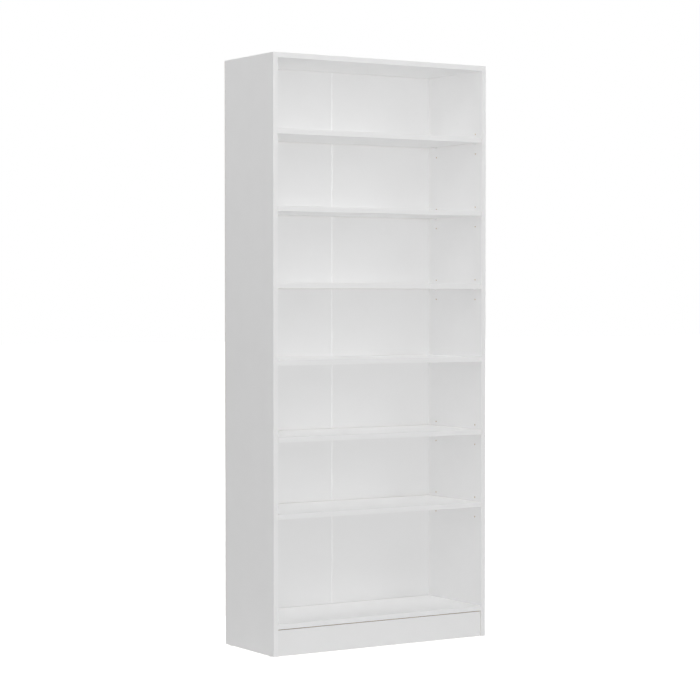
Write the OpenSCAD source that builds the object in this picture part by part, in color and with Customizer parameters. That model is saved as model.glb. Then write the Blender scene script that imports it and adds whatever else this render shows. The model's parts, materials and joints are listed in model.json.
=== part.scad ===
// Bookcase with adjustable shelves, in millimetres.
// +X is to the right, +Y is to the back and +Z is up, so the open front faces -Y.
// The origin is on the floor, at the middle of the width and of the depth.

/* [Carcass] */
// Width over the outer faces of the side panels
case_w = 800; // [600:10:1000]
// Height from the floor to the top of the side panels
case_h = 1860; // [1760:5:2000]
// Depth of the side panels, with their front edge band
side_d = 305; // [280:1:340]
// Thickness of every board
board_t = 16; // [16:0.5:19]
// Height of the plinth board
plinth_h = 81; // [70:1:100]
// Gap between the plinth and the bottom panel
plinth_top_gap = 2.5; // [0:0.5:4]
// Gap between each end of the plinth and the side panel
plinth_end_gap = 0.8; // [0:0.1:2]
// How far the plinth stands back from the front
plinth_setback = 5; // [0:1:20]
// Thickness of the edge band glued to each visible edge
band_t = 1; // [0.8:0.1:2]
// Radius on the outer corners of the edge band
band_r = 0.6; // [0.2:0.1:0.7]

/* [Shelves] */
// Height of the lowest shelf's underside above the floor
lowest_shelf_z = 425; // [410:1:440]
// Step from one shelf to the next
shelf_pitch = 237.25; // [225:0.25:240]
// Gap between an adjustable shelf and each side panel
shelf_end_gap = 1; // [0.5:0.1:2]
// How far an adjustable shelf stands back from the front
shelf_setback = 1; // [0:0.5:4]
// Depth of an adjustable shelf, with its edge band
shelf_d = 302; // [270:1:302]

/* [Shelf pins] */
// Diameter of the pin holes
pin_hole_d = 5; // [5:0.1:6]
// Radial clearance between a pin and its hole
pin_clearance = 0.05; // [0.02:0.01:0.1]
// Depth of the pin holes
pin_hole_depth = 10.5; // [9.5:0.5:12]
// Length of a pin inside its hole
pin_embed = 8.5; // [7:0.5:9]
// How far a pin's paddle reaches under the shelf, gap included
paddle_l = 11; // [9:0.5:14]
// Width of a pin's paddle
paddle_w = 9; // [7:0.5:12]
// Step between the heights that a shelf can be set to
pin_step = 32; // [25:1:32]
// Distance from the front to the front column of holes
front_column = 37; // [30:1:50]
// Distance between the front and rear columns of holes
column_spacing = 224; // [192:32:224]

/* [Back] */
// Thickness of the two hardboard sheets
back_t = 3; // [2.5:0.5:4]
// How far the sheets stay inside the outline of the case, at the sides
back_side_inset = 1; // [0.5:0.5:3]
// How far the sheets stay inside the outline of the case, at the top and bottom
back_end_inset = 2; // [1:0.5:4]
// Width of the joining strip's flanges
strip_w = 8; // [7:0.5:16]
// Thickness of the joining strip's front flange
strip_front_t = 0.9; // [0.6:0.1:0.9]
// Thickness of the joining strip's rear flange
strip_rear_t = 1; // [1:0.1:1.5]
// Number of nails up each side of the back
side_nail_count = 9; // [6:1:12]

/* [Hidden] */
$fn = 48;

// Which of the six shelf places, counted from the floor, each adjustable shelf takes, from the top down
ADJUSTABLE_PLACES = [5, 4, 3, 1, 0];
// The place of the fixed shelf
FIXED_PLACE = 2;
SHELF_NUMBERS = [1:len(ADJUSTABLE_PLACES)];
ROWS = ["front", "rear"];
SIDES = ["left", "right"];

function shelf_name(number) = str("adjustable_shelf_", number);
function pin_name(number, row, side) = str("shelf_", number, "_pin_", row, "_", side);

// Colours
MELAMINE = [0.93, 0.93, 0.93];
BAND = [0.96, 0.96, 0.96];
SHEET = [0.91, 0.91, 0.90];
PLASTIC = [0.95, 0.95, 0.94];
STEEL = [0.72, 0.72, 0.74];
ZINC = [0.62, 0.62, 0.60];
BEECH = [0.80, 0.64, 0.44];

// Where a cut starts this far outside the face that it goes into
OVER = 1;

// Overall places of the case
glide_t = 2;
overall_d = side_d + back_t + strip_rear_t;
front_y = -overall_d / 2;
sheet_front_y = front_y + side_d;
sheet_rear_y = sheet_front_y + back_t;
outer_x = case_w / 2;
inner_x = outer_x - board_t;
panel_mid_x = outer_x - board_t / 2;

// Undersides of the fixed boards, and whether their cam locks are in the upper face
bottom_z = glide_t + plinth_h + plinth_top_gap;
top_z = case_h - board_t;
function place_z(place) = lowest_shelf_z + place * shelf_pitch;
FIXED_BOARDS = [[top_z, true], [place_z(FIXED_PLACE), false], [bottom_z, false]];
// The fixed boards stop short of the back, which leaves room for the joining strip's front flange
fixed_board_d = side_d - 1;

// Columns of holes in the side panels, and the dowels between them
COLUMNS = [front_y + front_column, front_y + front_column + column_spacing];
DOWEL_ROWS = [COLUMNS[0] + 32, COLUMNS[1] - 32];
pin_hole_r = pin_hole_d / 2;
pin_r = pin_hole_r - pin_clearance;

// Cam fittings, measured from the inner face of the side panel
cam_x = 34;
cam_bore_r = 7.5;
cam_bore_depth = 13;
cam_r = 7.4;
cam_recess = 2;
cam_h = 10.8;
cam_chamber_r = 5.2;
cam_chamber_h = 7.2;
cam_entry_r = 3.6;
cam_neck_w = 4.6;
bolt_hole_r = 2.5;
bolt_hole_depth = 11.5;
bolt_end_bore_r = 4;
cover_r = 7.4;
cover_t = 0.8;
cover_h = 1.6;
cover_ring_wall = 1;
cover_chamfer = 0.3;

// Wooden dowels
dowel_r = 3.95;
dowel_hole_r = 4;
dowel_in_side = 11;
dowel_in_board = 19;
dowel_hole_slack = 1;
dowel_chamfer = 1;
PLINTH_DOWEL_ZS = [glide_t + 20, glide_t + plinth_h - 20];

// Plinth and its two brackets
plinth_y = front_y + plinth_setback;
plinth_rear_y = plinth_y + board_t;
plinth_end_x = inner_x - plinth_end_gap;
bracket_w = 30;
bracket_leg = 22;
bracket_t = 3;
bracket_rib_t = 3;
bracket_screw_x = 9;
bracket_screw_out = 13;
bracket_hole_r = 2;
screw_r = 1.7;
screw_pilot_r = 1.75;
screw_l = 13;
screw_head_r = 3.4;
screw_head_h = 2;
BRACKET_XS = [-case_w / 4, case_w / 4];

// Back sheets, their joining strip and their nails
back_z = bottom_z + back_end_inset;
back_h = case_h - back_end_inset - back_z;
strip_web_t = 1.4;
strip_slack = 0.2;
strip_arris = 0.3;
strip_edge_t = 0.15;
nail_r = 0.8;
nail_hole_r = 0.85;
nail_l = 20;
nail_head_r = 2;
nail_head_t = 0.8;
nail_end_z = 20;
side_nail_step = (back_h - 2 * nail_end_z) / (side_nail_count - 1);
SIDE_NAIL_ZS = [for (i = [0:side_nail_count - 1]) back_z + nail_end_z + i * side_nail_step];
BOARD_NAIL_XS = [for (i = [-3:2:3]) i * case_w / 8];

// Glides under the side panels
glide_r = 7.5;
glide_nail_r = 0.9;
glide_nail_hole_r = 0.95;
glide_nail_l = 15;
GLIDE_YS = [front_y + 30, front_y + side_d - 30];

// ---- Placing ----

// A cylinder along +X from the origin
module rod_x(r, h) {
    rotate([0, 90, 0]) cylinder(r = r, h = h);
}

// A solid of revolution about +X from [distance along X, radius] pairs, closed along the axis
module turned_x(profile) {
    rotate([0, 90, 0])
        rotate_extrude()
            polygon([for (p = profile) [p[1], p[0]]]);
}

// The same child at the left and, mirrored, at the right
module both_sides() {
    children();
    mirror([1, 0, 0]) children();
}

// Children at every cam fitting of the given fixed boards. Their origin is on the side panel's inner face, at the
// middle of the board's thickness, with +X into the board and +Z towards the face that holds the cam.
module at_cam_fittings(boards) {
    for (board = boards, y = COLUMNS)
        both_sides()
            translate([-inner_x, y, board[0] + board_t / 2])
                mirror([0, 0, board[1] ? 0 : 1])
                    children();
}

// Children at every dowel of the given fixed boards, with +X into the board
module at_board_dowels(boards) {
    for (board = boards, y = DOWEL_ROWS)
        both_sides() translate([-inner_x, y, board[0] + board_t / 2]) children();
}

// Children at every dowel of the plinth, with +X into the plinth
module at_plinth_dowels() {
    for (z = PLINTH_DOWEL_ZS)
        both_sides() translate([-inner_x, plinth_y + board_t / 2, z]) children();
}

// Children at every nail into the rear edge of a board, with +Z along the nail towards the back
module at_board_nails(boards) {
    for (board = boards, x = BOARD_NAIL_XS)
        translate([x, sheet_rear_y, board[0] + board_t / 2]) rotate([-90, 0, 0]) children();
}

// Children at every nail into the rear edge of the left side panel
module at_left_nails() {
    for (z = SIDE_NAIL_ZS)
        translate([-panel_mid_x, sheet_rear_y, z]) rotate([-90, 0, 0]) children();
}

// Children at every screw of the plinth brackets, with +Z out of the screw's head and the origin under the head
module at_bracket_screws_up() {
    for (x = BRACKET_XS, side = [-1, 1])
        translate([x + side * bracket_screw_x, plinth_rear_y + bracket_screw_out, bottom_z - bracket_t])
            rotate([180, 0, 0]) children();
}

module at_bracket_screws_forward() {
    for (x = BRACKET_XS, side = [-1, 1])
        translate([x + side * bracket_screw_x, plinth_rear_y + bracket_t, bottom_z - bracket_screw_out])
            rotate([-90, 0, 0]) children();
}

// Children at each glide of the left side panel
module at_left_glides() {
    for (y = GLIDE_YS) translate([-panel_mid_x, y, 0]) children();
}

// ---- Cuts ----

module nail_hole() {
    translate([0, 0, -nail_l - OVER]) cylinder(r = nail_hole_r, h = nail_l + 2 * OVER);
}

module screw_hole() {
    translate([0, 0, -screw_l]) cylinder(r = screw_pilot_r, h = screw_l);
}

module cam_fitting_cuts() {
    rod_x(r = bolt_end_bore_r, h = cam_x);
    translate([cam_x, 0, board_t / 2 - cam_bore_depth])
        cylinder(r = cam_bore_r, h = cam_bore_depth + OVER);
}

module dowel_hole_in_board() {
    translate([-OVER, 0, 0]) rod_x(r = dowel_hole_r, h = dowel_in_board + dowel_hole_slack + OVER);
}

module dowel_hole_in_side() {
    depth = dowel_in_side + dowel_hole_slack;
    translate([-depth, 0, 0]) rod_x(r = dowel_hole_r, h = depth + OVER);
}

// Every pin hole in the left side panel: three heights for each adjustable shelf, in two columns
module left_pin_holes() {
    for (place = ADJUSTABLE_PLACES, y = COLUMNS, step = [-1:1])
        translate([-inner_x - pin_hole_depth, y, place_z(place) - pin_hole_r + step * pin_step])
            rod_x(r = pin_hole_r, h = pin_hole_depth + OVER);
}

// ---- Boards ----

// Outline of an edge band across its width w, with its outer face at y = 0 and both outer corners rounded
function band_outline(w) = concat(
    [[0, band_t]],
    [for (a = [180:22.5:270]) [band_r + band_r * cos(a), band_r + band_r * sin(a)]],
    [for (a = [270:22.5:360]) [w - band_r + band_r * cos(a), band_r + band_r * sin(a)]],
    [[w, band_t]]
);

// An edge band lying along X, centred on x = 0, with its outer face at y = 0 and its lower side at z = 0
module level_band(length) {
    translate([-length / 2, 0, 0])
        rotate([90, 0, 90])
            linear_extrude(length)
                polygon([for (p = band_outline(board_t)) [p[1], p[0]]]);
}

// A board without its front edge band, centred on x = 0, with its front at the given y and its underside at z
module board_core(length, y, z, depth) {
    translate([-length / 2, y + band_t, z]) cube([length, depth - band_t, board_t]);
}

module left_panel_core() {
    difference() {
        translate([-outer_x, front_y + band_t, glide_t])
            cube([board_t, side_d - band_t, case_h - glide_t - band_t]);
        left_pin_holes();
        at_cam_fittings(FIXED_BOARDS)
            translate([-bolt_hole_depth, 0, 0]) rod_x(r = bolt_hole_r, h = bolt_hole_depth + OVER);
        at_board_dowels(FIXED_BOARDS) dowel_hole_in_side();
        at_plinth_dowels() dowel_hole_in_side();
        at_left_nails() nail_hole();
        at_left_glides() cylinder(r = glide_nail_hole_r, h = glide_nail_l + OVER);
    }
}

module left_front_band() {
    translate([-outer_x, front_y, glide_t])
        linear_extrude(case_h - glide_t) polygon(band_outline(board_t));
}

module left_top_band() {
    translate([-outer_x, front_y + band_t, case_h])
        rotate([-90, 0, 0])
            linear_extrude(side_d - band_t) polygon(band_outline(board_t));
}

module left_side_panel() {
    color(MELAMINE) left_panel_core();
}

module right_side_panel() {
    color(MELAMINE) mirror([1, 0, 0]) left_panel_core();
}

module left_side_front_band() {
    color(BAND) left_front_band();
}

module right_side_front_band() {
    color(BAND) mirror([1, 0, 0]) left_front_band();
}

module left_side_top_band() {
    color(BAND) left_top_band();
}

module right_side_top_band() {
    color(BAND) mirror([1, 0, 0]) left_top_band();
}

// A board held between the side panels by cam fittings and dowels, and nailed to from the back
module fixed_board(board) {
    color(MELAMINE)
        difference() {
            board_core(2 * inner_x, front_y, board[0], fixed_board_d);
            at_cam_fittings([board]) cam_fitting_cuts();
            at_board_dowels([board]) dowel_hole_in_board();
            at_board_nails([board]) nail_hole();
        }
}

module fixed_board_band(board) {
    color(BAND) translate([0, front_y, board[0]]) level_band(2 * inner_x);
}

module top_panel() {
    fixed_board(FIXED_BOARDS[0]);
}

module top_panel_edge_band() {
    fixed_board_band(FIXED_BOARDS[0]);
}

module fixed_shelf() {
    fixed_board(FIXED_BOARDS[1]);
}

module fixed_shelf_edge_band() {
    fixed_board_band(FIXED_BOARDS[1]);
}

module bottom_panel() {
    difference() {
        fixed_board(FIXED_BOARDS[2]);
        at_bracket_screws_up() screw_hole();
    }
}

module bottom_panel_edge_band() {
    fixed_board_band(FIXED_BOARDS[2]);
}

module plinth() {
    color(MELAMINE)
        difference() {
            translate([-plinth_end_x, plinth_y, glide_t]) cube([2 * plinth_end_x, board_t, plinth_h]);
            at_plinth_dowels() dowel_hole_in_board();
            at_bracket_screws_forward() screw_hole();
        }
}

module adjustable_shelf(number) {
    z = place_z(ADJUSTABLE_PLACES[number - 1]);
    color(MELAMINE)
        board_core(2 * (inner_x - shelf_end_gap), front_y + shelf_setback, z, shelf_d);
}

module adjustable_shelf_edge_band(number) {
    z = place_z(ADJUSTABLE_PLACES[number - 1]);
    color(BAND)
        translate([0, front_y + shelf_setback, z]) level_band(2 * (inner_x - shelf_end_gap));
}

// ---- Shelf pins ----

// A pin for the left side panel. Its origin is on the panel's inner face, under the shelf, with +X under the shelf.
module pin_shape() {
    stub = paddle_l / 2;
    translate([0, 0, -pin_hole_r])
        turned_x([
            [-pin_embed, 0], [-pin_embed, pin_r - 0.6], [-pin_embed + 0.6, pin_r],
            [stub - 1, pin_r], [stub, pin_r - 1], [stub, 0]
        ]);
    translate([0, 0, -pin_hole_r])
        linear_extrude(pin_hole_r) {
            translate([0, -paddle_w / 2]) square([paddle_l - paddle_w / 2, paddle_w]);
            translate([paddle_l - paddle_w / 2, 0]) circle(d = paddle_w);
        }
}

module shelf_pin(number, row, side) {
    y = COLUMNS[row == "front" ? 0 : 1];
    z = place_z(ADJUSTABLE_PLACES[number - 1]);
    color(STEEL)
        mirror([side == "right" ? 1 : 0, 0, 0]) translate([-inner_x, y, z]) pin_shape();
}

// ---- Back ----

module left_sheet() {
    inner_edge = strip_web_t / 2 + strip_slack;
    translate([-outer_x + back_side_inset, sheet_front_y, back_z])
        cube([outer_x - back_side_inset - inner_edge, back_t, back_h]);
}

module back_sheet_left() {
    color(SHEET)
        difference() {
            left_sheet();
            at_left_nails() nail_hole();
            at_board_nails(FIXED_BOARDS) nail_hole();
        }
}

module back_sheet_right() {
    color(SHEET)
        difference() {
            mirror([1, 0, 0]) left_sheet();
            mirror([1, 0, 0]) at_left_nails() nail_hole();
            at_board_nails(FIXED_BOARDS) nail_hole();
        }
}

// Right half of the joining strip's H section, from the middle of its domed front face to its rear, with y = 0 at
// the sheets' front faces
function strip_half_outline() =
    let (
        half = strip_w / 2,
        web = strip_web_t / 2,
        rear = back_t + strip_rear_t,
        crown = strip_front_t - strip_edge_t,
        dome = [for (k = [1:6]) [half * k / 6, -strip_edge_t - crown * (1 - pow(k / 6, 2))]]
    )
    concat(dome, [
        [half, 0], [web, 0], [web, back_t], [half, back_t], [half, rear - strip_arris], [half - strip_arris, rear]
    ]);

module back_joining_strip() {
    right = strip_half_outline();
    left = [for (i = [len(right) - 1:-1:0]) [-right[i][0], right[i][1]]];
    color(PLASTIC)
        translate([0, sheet_front_y, back_z])
            linear_extrude(back_h) polygon(concat([[0, -strip_front_t]], right, left));
}

module nail() {
    point = 2;
    translate([0, 0, -nail_l])
        rotate_extrude()
            polygon([
                [0, 0], [nail_r, point], [nail_r, nail_l], [nail_head_r, nail_l],
                [nail_head_r, nail_l + nail_head_t], [0, nail_l + nail_head_t]
            ]);
}

module back_nails() {
    color(STEEL) {
        both_sides() at_left_nails() nail();
        at_board_nails(FIXED_BOARDS) nail();
    }
}

// ---- Fittings ----

// Threaded into the side panel at its tail, with a collar on the panel's face and a round head in the cam
module cam_bolt() {
    turned_x([
        [-11, 0], [-11, 1.6], [-9.5, 2.45], [0, 2.45], [0, 3.75], [1.5, 3.75], [1.5, 2.9],
        [26, 2.9], [26, 2], [31.5, 2], [32, 2.8], [33, 3.3], [34.5, 3.3], [35.5, 2.6], [36, 1.4], [36, 0]
    ]);
}

module cam_bolts() {
    color(STEEL) at_cam_fittings(FIXED_BOARDS) cam_bolt();
}

// Turned shut: the narrow slot grips the bolt's neck, and the wide entry is a quarter turn away
module cam_lock() {
    top = board_t / 2 - cam_recess;
    cross_l = 7.5;
    cross_w = 1.3;
    cross_depth = 1.6;
    translate([cam_x, 0, 0])
        difference() {
            translate([0, 0, top - cam_h]) cylinder(r = cam_r, h = cam_h);
            translate([0, 0, -cam_chamber_h / 2]) cylinder(r = cam_chamber_r, h = cam_chamber_h);
            translate([-cam_r - OVER, -cam_neck_w / 2, -cam_neck_w / 2])
                cube([cam_r + OVER, cam_neck_w, cam_neck_w]);
            rotate([90, 0, 0]) cylinder(r = cam_entry_r, h = cam_r + OVER);
            for (turn = [0, 90])
                rotate(turn)
                    translate([-cross_l / 2, -cross_w / 2, top - cross_depth])
                        cube([cross_l, cross_w, cross_depth + OVER]);
        }
}

module cam_locks() {
    color(ZINC) at_cam_fittings(FIXED_BOARDS) cam_lock();
}

// A cap pressed into the mouth of the cam's bore, flush with the board's face, with a ring under its rim
module cam_cover() {
    translate([cam_x, 0, board_t / 2])
        rotate_extrude()
            polygon([
                [0, -cover_t], [cover_r - cover_ring_wall, -cover_t], [cover_r - cover_ring_wall, -cover_h],
                [cover_r, -cover_h], [cover_r, -cover_chamfer], [cover_r - cover_chamfer, 0], [0, 0]
            ]);
}

module cam_covers() {
    color(PLASTIC) at_cam_fittings(FIXED_BOARDS) cam_cover();
}

module dowel() {
    turned_x([
        [-dowel_in_side, 0], [-dowel_in_side, dowel_r - dowel_chamfer], [-dowel_in_side + dowel_chamfer, dowel_r],
        [dowel_in_board - dowel_chamfer, dowel_r], [dowel_in_board, dowel_r - dowel_chamfer], [dowel_in_board, 0]
    ]);
}

module wooden_dowels() {
    color(BEECH) {
        at_board_dowels(FIXED_BOARDS) dowel();
        at_plinth_dowels() dowel();
    }
}

// An angle under the bottom panel and behind the plinth, stiffened by a rib in the middle of its width
module plinth_bracket() {
    rib = bracket_leg - 2;
    difference() {
        translate([-bracket_w / 2, 0, 0])
            rotate([90, 0, 90])
                linear_extrude(bracket_w)
                    polygon([
                        [0, 0], [0, -bracket_leg], [bracket_t, -bracket_leg], [bracket_t, -bracket_t],
                        [bracket_leg, -bracket_t], [bracket_leg, 0]
                    ]);
        for (side = [-1, 1]) {
            translate([side * bracket_screw_x, bracket_screw_out, -bracket_t - OVER])
                cylinder(r = bracket_hole_r, h = bracket_t + 2 * OVER);
            translate([side * bracket_screw_x, -OVER, -bracket_screw_out])
                rotate([-90, 0, 0]) cylinder(r = bracket_hole_r, h = bracket_t + 2 * OVER);
        }
    }
    translate([-bracket_rib_t / 2, 0, 0])
        rotate([90, 0, 90])
            linear_extrude(bracket_rib_t)
                polygon([[bracket_t / 2, -bracket_t / 2], [bracket_t / 2, -rib], [rib, -bracket_t / 2]]);
}

module plinth_brackets() {
    color(PLASTIC)
        for (x = BRACKET_XS) translate([x, plinth_rear_y, bottom_z]) plinth_bracket();
}

// A pan-head screw with its shank down from the origin
module screw() {
    point = 2.5;
    socket_l = 3.6;
    socket_w = 0.9;
    difference() {
        translate([0, 0, -screw_l])
            rotate_extrude()
                polygon([
                    [0, 0], [screw_r, point], [screw_r, screw_l], [screw_head_r, screw_l],
                    [screw_head_r, screw_l + 1], [screw_head_r - 1, screw_l + screw_head_h],
                    [0, screw_l + screw_head_h]
                ]);
        for (turn = [0, 90])
            rotate(turn)
                translate([-socket_l / 2, -socket_w / 2, 1])
                    cube([socket_l, socket_w, screw_head_h]);
    }
}

module plinth_bracket_screws() {
    color(STEEL) {
        at_bracket_screws_up() screw();
        at_bracket_screws_forward() screw();
    }
}

// A flat disc with a dished hole for its nail's head, under the bottom edge of a side panel
module glide() {
    edge = 0.8;
    dish_r = 3;
    dish_depth = 1;
    rotate_extrude()
        polygon([
            [dish_r, 0], [glide_r - edge, 0], [glide_r, edge], [glide_r, glide_t],
            [glide_nail_hole_r, glide_t], [glide_nail_hole_r, dish_depth], [dish_r, dish_depth]
        ]);
}

module floor_glides() {
    color(PLASTIC) both_sides() at_left_glides() glide();
}

module glide_nail() {
    head_r = 2.6;
    head_low = 0.3;
    head_high = 1;
    point = 2;
    rotate_extrude()
        polygon([
            [0, head_low], [head_r, head_low], [head_r, head_high], [glide_nail_r, head_high],
            [glide_nail_r, glide_nail_l - point], [0, glide_nail_l]
        ]);
}

module floor_glide_nails() {
    color(STEEL) both_sides() at_left_glides() glide_nail();
}

left_side_panel();
right_side_panel();
left_side_front_band();
right_side_front_band();
left_side_top_band();
right_side_top_band();
top_panel();
top_panel_edge_band();
bottom_panel();
bottom_panel_edge_band();
fixed_shelf();
fixed_shelf_edge_band();
plinth();
back_sheet_left();
back_sheet_right();
back_joining_strip();
back_nails();
cam_bolts();
cam_locks();
cam_covers();
wooden_dowels();
plinth_brackets();
plinth_bracket_screws();
floor_glides();
floor_glide_nails();
for (n = SHELF_NUMBERS) {
    adjustable_shelf(n);
    adjustable_shelf_edge_band(n);
    for (row = ROWS, side = SIDES)
        shelf_pin(n, row, side);
}
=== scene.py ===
"""Looks of the bookcase: a finish for every face of the CAD nodes, a pale studio and the camera.

Everything is in metres in the CAD model's frame: +X right, +Y back, +Z up, the open front towards -Y and the floor
at Z = 0.
"""
import json
import math

import bpy
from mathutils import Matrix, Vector


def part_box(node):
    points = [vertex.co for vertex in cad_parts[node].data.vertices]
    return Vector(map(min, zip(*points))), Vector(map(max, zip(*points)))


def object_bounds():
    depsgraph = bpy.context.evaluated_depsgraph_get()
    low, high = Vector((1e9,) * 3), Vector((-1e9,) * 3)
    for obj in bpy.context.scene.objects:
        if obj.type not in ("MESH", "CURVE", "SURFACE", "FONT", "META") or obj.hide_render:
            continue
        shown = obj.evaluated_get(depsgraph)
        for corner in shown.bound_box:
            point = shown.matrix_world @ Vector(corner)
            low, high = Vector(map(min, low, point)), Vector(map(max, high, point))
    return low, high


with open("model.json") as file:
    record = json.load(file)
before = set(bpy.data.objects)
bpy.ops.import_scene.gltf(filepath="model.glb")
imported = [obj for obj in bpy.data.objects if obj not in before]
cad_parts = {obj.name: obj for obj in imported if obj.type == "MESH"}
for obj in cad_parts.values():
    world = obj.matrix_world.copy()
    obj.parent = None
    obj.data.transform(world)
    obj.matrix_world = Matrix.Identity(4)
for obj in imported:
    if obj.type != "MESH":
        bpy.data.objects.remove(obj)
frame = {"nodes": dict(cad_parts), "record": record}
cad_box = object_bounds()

MM = 0.001
nodes = frame["nodes"]

# ---- Material toolkit ----

# A Mix node has its own sockets for each data type. These are the ones for colours.
MIX_FIRST_COLOUR, MIX_SECOND_COLOUR = 6, 7
MIX_COLOUR_RESULT = 2


class Finish:
    """A Principled material whose patterns lie in the CAD model's frame, so that every size is in metres."""

    def __init__(self, name, **inputs):
        self.material = bpy.data.materials.new(name)
        self.material.use_nodes = True
        self.tree = self.material.node_tree
        self.shader = self.tree.nodes["Principled BSDF"]
        self.place = self.tree.nodes.new("ShaderNodeTexCoord").outputs["Object"]
        for socket, value in inputs.items():
            self.shader.inputs[socket.replace("_", " ")].default_value = value

    def add(self, kind, inputs=(), **settings):
        """A new node. Each input is a number, a colour or another node's output."""
        node = self.tree.nodes.new(kind)
        for name, value in settings.items():
            setattr(node, name, value)
        for socket, value in dict(inputs).items():
            if isinstance(value, bpy.types.NodeSocket):
                self.tree.links.new(value, node.inputs[socket])
            else:
                node.inputs[socket].default_value = value
        return node

    def stretched(self, stretch):
        """The place of a point, with each axis divided by its stretch."""
        scale = [1 / factor for factor in stretch]
        return self.add("ShaderNodeMapping", {"Vector": self.place, "Scale": scale}).outputs["Vector"]

    def noise(self, size, detail=2.0, stretch=(1, 1, 1)):
        """Soft noise from 0 to 1 whose spots are about size metres across."""
        inputs = {"Vector": self.stretched(stretch), "Scale": 1 / size, "Detail": detail}
        return self.add("ShaderNodeTexNoise", inputs).outputs["Fac"]

    def cells(self, size, output="Color", stretch=(1, 1, 1), feature="F1"):
        """Cells about size metres across."""
        inputs = {"Vector": self.stretched(stretch), "Scale": 1 / size}
        return self.add("ShaderNodeTexVoronoi", inputs, feature=feature).outputs[output]

    def waves(self, size, direction, distortion=0.0):
        """Parallel waves, size metres from crest to crest, across the named axis."""
        inputs = {"Vector": self.place, "Scale": 1 / (WAVES_PER_UNIT * size), "Distortion": distortion}
        return self.add("ShaderNodeTexWave", inputs, bands_direction=direction).outputs["Fac"]

    def between(self, factor, low, high):
        """A number that goes from low to high as the factor goes from 0 to 1."""
        inputs = {"Value": factor, "To Min": low, "To Max": high}
        return self.add("ShaderNodeMapRange", inputs).outputs["Result"]

    def blend(self, factor, first, second):
        """A colour that goes from the first to the second as the factor goes from 0 to 1."""
        node = self.add("ShaderNodeMix", {"Factor": factor}, data_type="RGBA")
        for place, value in ((MIX_FIRST_COLOUR, first), (MIX_SECOND_COLOUR, second)):
            socket = node.inputs[place]
            if isinstance(value, bpy.types.NodeSocket):
                self.tree.links.new(value, socket)
            else:
                socket.default_value = value
        return node.outputs[MIX_COLOUR_RESULT]

    def contrast(self, factor, low, high):
        """The factor stretched so that low becomes 0 and high becomes 1."""
        inputs = {"Value": factor, "From Min": low, "From Max": high}
        return self.add("ShaderNodeMapRange", inputs).outputs["Result"]

    def colour(self, value):
        self.tree.links.new(value, self.shader.inputs["Base Color"])

    def roughness(self, value):
        self.tree.links.new(value, self.shader.inputs["Roughness"])

    def relief(self, *layers):
        """Bumps from (pattern, height in metres) layers, the broadest first."""
        normal = None
        for pattern, height in layers:
            inputs = {"Height": pattern, "Distance": height}
            if normal:
                inputs["Normal"] = normal
            normal = self.add("ShaderNodeBump", inputs).outputs["Normal"]
        self.tree.links.new(normal, self.shader.inputs["Normal"])


# A Wave Texture of scale 1 has this many crests in a metre
WAVES_PER_UNIT = 3.183


def grey(level, warmth=0.0):
    """A near-grey colour, a little redder and less blue with warmth."""
    return (level + warmth, level, level - warmth, 1)


# ---- Finishes ----


def melamine():
    """White melamine with its fine pearl texture."""
    f = Finish("melamine", IOR=1.5)
    clouds = f.noise(70 * MM, detail=3)
    pearl = f.noise(1.1 * MM, detail=1)
    dimples = f.cells(2.4 * MM, output="Distance", feature="SMOOTH_F1")
    f.colour(f.blend(f.contrast(clouds, 0.3, 0.7), grey(MELAMINE_LEVEL - 0.006), grey(MELAMINE_LEVEL + 0.006)))
    f.roughness(f.between(f.contrast(pearl, 0.35, 0.65), 0.36, 0.46))
    f.relief((dimples, 0.030 * MM), (pearl, 0.018 * MM))
    return f.material


def edge_band():
    """Satin plastic edge band, with faint lines along its length."""
    f = Finish("edge_band", IOR=1.5)
    lines = f.noise(0.5 * MM, stretch=(40, 1, 40))
    clouds = f.noise(45 * MM)
    f.colour(f.blend(clouds, grey(BAND_LEVEL - 0.006), grey(BAND_LEVEL + 0.006)))
    f.roughness(f.between(lines, 0.33, 0.43))
    f.relief((lines, 0.010 * MM))
    return f.material


def particleboard():
    """The boards' raw core: glued wood chips, finer dust between them."""
    f = Finish("particleboard", Roughness=0.9)
    chips = f.cells(2.2 * MM, stretch=(2.2, 1.6, 0.7))
    dust = f.noise(0.8 * MM, detail=4)
    shade = f.add("ShaderNodeSeparateColor", {"Color": chips}).outputs["Red"]
    wood = f.blend(shade, (0.46, 0.33, 0.20, 1), (0.76, 0.62, 0.44, 1))
    f.colour(f.blend(f.contrast(dust, 0.35, 0.65), wood, (0.62, 0.49, 0.34, 1)))
    f.relief((shade, 0.12 * MM), (dust, 0.10 * MM))
    return f.material


def sheet_lacquer():
    """The white lacquered front of the back sheets, with slight orange peel."""
    f = Finish("sheet_lacquer", IOR=1.45)
    waviness = f.noise(160 * MM, detail=1)
    peel = f.noise(3.0 * MM, detail=1)
    f.colour(f.blend(waviness, grey(SHEET_LEVEL - 0.006), grey(SHEET_LEVEL + 0.006)))
    f.roughness(f.between(peel, 0.40, 0.50))
    f.relief((waviness, 0.30 * MM), (peel, 0.020 * MM))
    return f.material


def raw_hardboard():
    """The raw brown rear of the back sheets, pressed fibres under a fine screen imprint."""
    f = Finish("raw_hardboard", Roughness=0.8)
    blotches = f.noise(30 * MM, detail=4)
    fibres = f.cells(1.6 * MM, output="Distance", stretch=(1, 1, 3))
    brown = f.blend(f.contrast(blotches, 0.3, 0.7), (0.27, 0.165, 0.085, 1), (0.38, 0.25, 0.14, 1))
    f.colour(f.blend(f.contrast(fibres, 0.2, 1.0), brown, (0.46, 0.32, 0.19, 1)))
    screen = f.add("ShaderNodeMath", (), operation="MAXIMUM")
    f.tree.links.new(f.waves(1.4 * MM, "X"), screen.inputs[0])
    f.tree.links.new(f.waves(1.4 * MM, "Z"), screen.inputs[1])
    f.relief((fibres, 0.08 * MM), (screen.outputs[0], 0.06 * MM))
    return f.material


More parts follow.
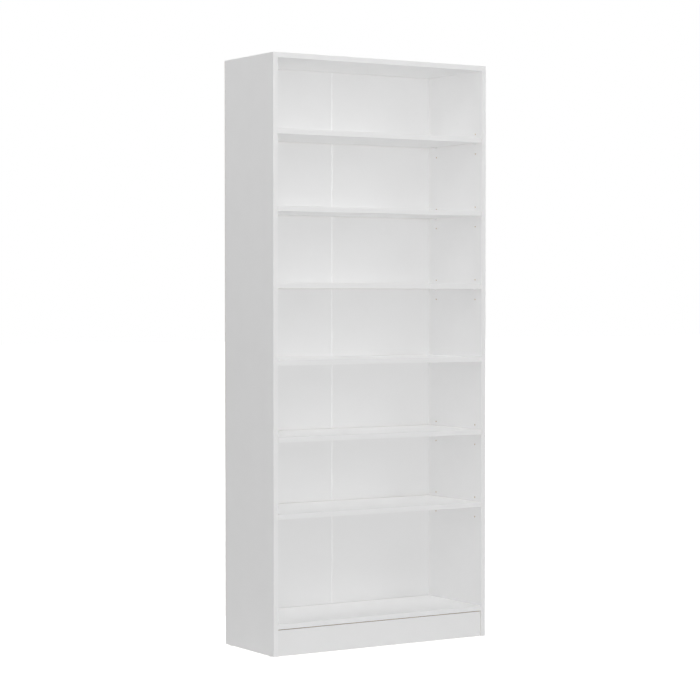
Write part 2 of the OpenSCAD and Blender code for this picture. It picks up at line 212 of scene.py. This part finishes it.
def extruded_plastic():
    """White semi-gloss plastic of the joining strip, drawn out along Z."""
    f = Finish("extruded_plastic", IOR=1.8)
    lines = f.noise(0.5 * MM, stretch=(1, 1, 80))
    waviness = f.noise(90 * MM)
    f.colour(f.blend(waviness, grey(STRIP_LEVEL - 0.006), grey(STRIP_LEVEL + 0.006)))
    f.roughness(f.between(lines, 0.22, 0.32))
    f.relief((lines, 0.010 * MM))
    return f.material


def moulded_plastic():
    """White moulded plastic with a finely spark-eroded skin."""
    f = Finish("moulded_plastic", IOR=1.46)
    clouds = f.noise(12 * MM)
    skin = f.noise(0.35 * MM, detail=1)
    f.colour(f.blend(clouds, grey(0.80, 0.004), grey(0.84, 0.004)))
    f.roughness(f.between(skin, 0.42, 0.58))
    f.relief((skin, 0.012 * MM))
    return f.material


def zinc_plating():
    """Bright zinc plating on steel, slightly clouded."""
    f = Finish("zinc_plating", Metallic=1.0)
    clouds = f.noise(3 * MM, detail=3)
    grain = f.noise(0.25 * MM)
    f.colour(f.blend(clouds, (0.55, 0.56, 0.58, 1), (0.68, 0.68, 0.69, 1)))
    f.roughness(f.between(clouds, 0.28, 0.42))
    f.relief((grain, 0.006 * MM))
    return f.material


def powder_coat():
    """White powder coat on the pins, with its slight orange peel."""
    f = Finish("powder_coat", IOR=1.5)
    clouds = f.noise(6 * MM)
    peel = f.noise(0.9 * MM, detail=1)
    f.colour(f.blend(clouds, grey(0.84, 0.004), grey(0.88, 0.004)))
    f.roughness(f.between(peel, 0.30, 0.42))
    f.relief((peel, 0.012 * MM))
    return f.material


def die_cast_zinc():
    """Grey die-cast zinc with a grainy cast skin."""
    f = Finish("die_cast_zinc", Metallic=1.0)
    clouds = f.noise(2.5 * MM, detail=3)
    grain = f.noise(0.3 * MM)
    f.colour(f.blend(clouds, (0.42, 0.42, 0.42, 1), (0.56, 0.56, 0.55, 1)))
    f.roughness(f.between(grain, 0.42, 0.6))
    f.relief((grain, 0.02 * MM))
    return f.material


def beech():
    """Turned beech, with its grain and short dark rays along X."""
    f = Finish("beech", Roughness=0.6)
    grain = f.noise(1.2 * MM, detail=4, stretch=(12, 1, 1))
    rays = f.noise(0.5 * MM, stretch=(6, 1, 1))
    wood = f.blend(f.contrast(grain, 0.3, 0.7), (0.60, 0.42, 0.26, 1), (0.74, 0.56, 0.37, 1))
    f.colour(f.blend(f.contrast(rays, 0.62, 0.75), wood, (0.45, 0.28, 0.16, 1)))
    f.relief((grain, 0.04 * MM))
    return f.material


# How light each white finish is, from 0 to 1
MELAMINE_LEVEL = 0.9
BAND_LEVEL = 0.925
SHEET_LEVEL = 0.9
STRIP_LEVEL = 0.97

MELAMINE = melamine()
BAND = edge_band()
CORE = particleboard()
LACQUER = sheet_lacquer()
HARDBOARD = raw_hardboard()
STRIP = extruded_plastic()
PLASTIC = moulded_plastic()
ZINC_PLATE = zinc_plating()
POWDER_COAT = powder_coat()
ZINC_CAST = die_cast_zinc()
BEECH = beech()

# ---- Finishes on the CAD nodes ----


def flat_side(node):
    """A function that says which of the board's two large faces a polygon lies in: -1, 1, or 0 for neither."""
    low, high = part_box(node)
    axis = min(range(3), key=lambda k: high[k] - low[k])
    tolerance = 0.02 * MM
    squarest = 0.999

    def side(polygon):
        if abs(polygon.normal[axis]) < squarest:
            return 0
        if abs(polygon.center[axis] - low[axis]) < tolerance:
            return -1
        return 1 if abs(polygon.center[axis] - high[axis]) < tolerance else 0

    return side


def finish_board(node, low_side, high_side, rest):
    """Finishes a board by face: the large face on its lower side, the one on its higher side, and the rest."""
    mesh = nodes[node].data
    side = flat_side(node)
    finishes = [rest, high_side, low_side]
    mesh.materials.clear()
    for finish in finishes:
        mesh.materials.append(finish)
    for polygon in mesh.polygons:
        polygon.material_index = side(polygon) % 3


def finish_whole(node, finish):
    mesh = nodes[node].data
    mesh.materials.clear()
    mesh.materials.append(finish)


SLOT_FINISHES = {
    "edge_band": BAND,
    "white_plastic": PLASTIC,
    "steel": ZINC_PLATE,
    "pin_steel": POWDER_COAT,
    "zinc_casting": ZINC_CAST,
    "beech": BEECH,
}

for part in frame["record"]["subparts"]:
    name, slot = part["node"], part["material_slot"]
    if slot == "melamine_board":
        finish_board(name, MELAMINE, MELAMINE, CORE)
    elif slot == "back_hardboard":
        finish_board(name, LACQUER, HARDBOARD, HARDBOARD)
    elif name == "back_joining_strip":
        finish_whole(name, STRIP)
    else:
        finish_whole(name, SLOT_FINISHES[slot])

# ---- Studio ----


def add_camera():
    """The camera, just left of the case's front and at about three fifths of its height."""
    data = bpy.data.cameras.new("camera")
    data.lens = 112.06
    data.sensor_width = 36
    camera = bpy.data.objects.new("camera", data)
    camera.location = (-3.7652, -5.9277, 1.1142)
    camera.rotation_euler = (math.radians(88.574), 0, math.radians(-32.249))
    bpy.context.collection.objects.link(camera)
    bpy.context.scene.camera = camera


def add_softbox(name, azimuth, elevation, distance, watts, shadow_casters=None):
    """A square area light turned towards the case's middle. Azimuth 0 is in front of the case and 90 at its right.

    Every object casts a shadow in its light, or only the ones in the shadow_casters collection when there is one.
    """
    turn, lift = math.radians(azimuth), math.radians(elevation)
    outward = Vector((math.sin(turn) * math.cos(lift), -math.cos(turn) * math.cos(lift), math.sin(lift)))
    data = bpy.data.lights.new(name, "AREA")
    data.shape = "SQUARE"
    data.size = distance * SOFTBOX_SPREAD
    data.energy = watts
    light = bpy.data.objects.new(name, data)
    if shadow_casters:
        light.light_linking.blocker_collection = shadow_casters
    light.location = CASE_MIDDLE + outward * distance
    light.rotation_mode = "QUATERNION"
    light.rotation_quaternion = (-outward).to_track_quat("-Z", "Y")
    bpy.context.collection.objects.link(light)


def white_to_camera(tree, light_level, output, also_reflected):
    """A white emission that looks fully white to the camera and lights the scene at light_level."""
    path = tree.nodes.new("ShaderNodeLightPath")
    seen = path.outputs["Is Camera Ray"]
    if also_reflected:
        either = tree.nodes.new("ShaderNodeMath")
        either.operation = "MAXIMUM"
        tree.links.new(seen, either.inputs[0])
        tree.links.new(path.outputs["Is Glossy Ray"], either.inputs[1])
        seen = either.outputs["Value"]
    level = tree.nodes.new("ShaderNodeMapRange")
    level.inputs["To Min"].default_value = light_level
    level.inputs["To Max"].default_value = 1
    tree.links.new(seen, level.inputs["Value"])
    tree.links.new(level.outputs["Result"], output)


def add_world(light_level):
    """A white surround."""
    world = bpy.data.worlds.new("studio")
    world.use_nodes = True
    bpy.context.scene.world = world
    background = world.node_tree.nodes["Background"]
    background.inputs["Color"].default_value = grey(1)
    white_to_camera(world.node_tree, light_level, background.inputs["Strength"], also_reflected=True)


def add_floor(light_level):
    """A pale floor that looks as white as the surround."""
    reach = 40
    mesh = bpy.data.meshes.new("floor")
    corners = [(x * reach, y * reach, 0) for x, y in ((-1, -1), (1, -1), (1, 1), (-1, 1))]
    mesh.from_pydata(corners, [], [(0, 1, 2, 3)])
    floor = bpy.data.objects.new("floor", mesh)
    bpy.context.collection.objects.link(floor)
    f = Finish("floor", Roughness=0.9)
    f.colour(f.blend(f.noise(0.4), grey(0.72), grey(0.76)))
    f.shader.inputs["Emission Color"].default_value = grey(1)
    white_to_camera(f.tree, light_level, f.shader.inputs["Emission Strength"], also_reflected=False)
    mesh.materials.append(f.material)


CASE_MIDDLE = (cad_box[0] + cad_box[1]) / 2
# Side of each softbox over its distance
SOFTBOX_SPREAD = 0.45
# How strongly the white surround and the floor light the scene
WORLD_LIGHT = 0.06
FLOOR_LIGHT = 0.10
# Azimuth, elevation, distance and watts of each light. These cast shadows from everything.
KEY_LIGHTS = {
    "key_left": (-90, 20, 16, 260),
    "key_front_left": (-30, 20, 16, 150),
    "key_high_left": (-30, 40, 8, 107),
    "key_front_right": (30, 20, 16, 268),
    "key_rear": (180, 20, 8, 200),
}
# Fill lights keep the inside of the case evenly bright: only the boards round the plinth cast shadows in them
FILL_LIGHTS = {
    "fill_camera": (-30, 5, 16, 460),
    "fill_left": (-90, 0, 16, 147),
    "fill_right": (90, 0, 16, 340),
    "fill_high": (0, 45, 8, 32),
    "fill_top": (0, 89, 8, 123),
    "fill_under": (0, -30, 16, 135),
}

add_camera()
add_world(WORLD_LIGHT)
add_floor(FLOOR_LIGHT)
plinth_recess = bpy.data.collections.new("plinth_recess")
for name in ("bottom_panel", "bottom_panel_edge_band", "plinth"):
    plinth_recess.objects.link(nodes[name])
for lights, shadow_casters in ((KEY_LIGHTS, None), (FILL_LIGHTS, plinth_recess)):
    for name, (azimuth, elevation, distance, watts) in lights.items():
        add_softbox(name, azimuth, elevation, distance, watts, shadow_casters)
bpy.context.scene.view_settings.view_transform = "Standard"
